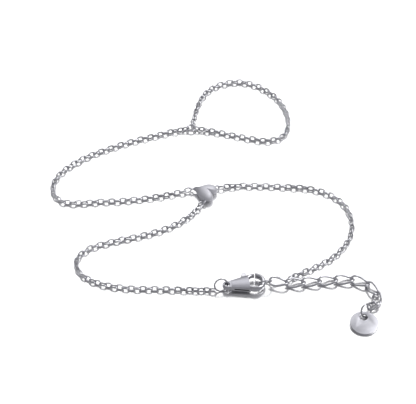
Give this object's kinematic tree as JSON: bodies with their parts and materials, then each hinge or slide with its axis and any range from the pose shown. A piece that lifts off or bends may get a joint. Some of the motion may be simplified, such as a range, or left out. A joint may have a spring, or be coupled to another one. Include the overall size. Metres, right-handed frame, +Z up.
{
  "type": "hand chain",
  "caption": "Slim steel hand chain: a finger loop and a wrist bracelet joined by a chain, with a puffed heart, a lobster clasp, a curb extender and a round tag.",
  "frame": {"origin": "on the surface the chain lies on, under the middle of its box", "axes": "+Z up, +Y from the tag towards the finger loop, +X to the right"},
  "size_m": [0.0698, 0.0794, 0.0029],
  "materials": {
    "fine_chain": "bright drawn steel wire, slightly grey in the joints",
    "ring_wire": "polished steel wire",
    "extender_wire": "polished steel wire, twisted links",
    "heart_satin": "satin cast steel with a soft sheen",
    "clasp_polished": "polished claw with a satin cheek",
    "tag_brushed": "finely brushed face, darker polished rim"
  },
  "bodies": {
    "chain": {"finger_chain": "fine_chain", "hand_chain": "fine_chain", "wrist_chain_left": "fine_chain", "wrist_chain_right": "fine_chain", "junction_ring": "ring_wire", "clasp_ring": "ring_wire", "hook_ring": "ring_wire", "tag_ring": "ring_wire", "extender_link_1": "extender_wire", "extender_link_2": "extender_wire", "extender_link_3": "extender_wire", "extender_link_4": "extender_wire", "extender_link_5": "extender_wire", "extender_link_6": "extender_wire", "extender_link_7": "extender_wire", "extender_link_8": "extender_wire", "extender_link_9": "extender_wire", "heart": "heart_satin", "clasp_body": "clasp_polished", "tag": "tag_brushed"},
    "lever": {"clasp_lever": "clasp_polished"}
  },
  "joints": [
    {"name": "clasp_lever", "type": "hinge", "parent": "chain", "child": "lever", "pos_m": [0.00635, -0.02595, 0.00111], "axis": [0, 0, 1], "range_deg": [-26, 0], "stiffness_Nm_per_rad": 0.006, "springref_deg": 5.73}
  ]
}
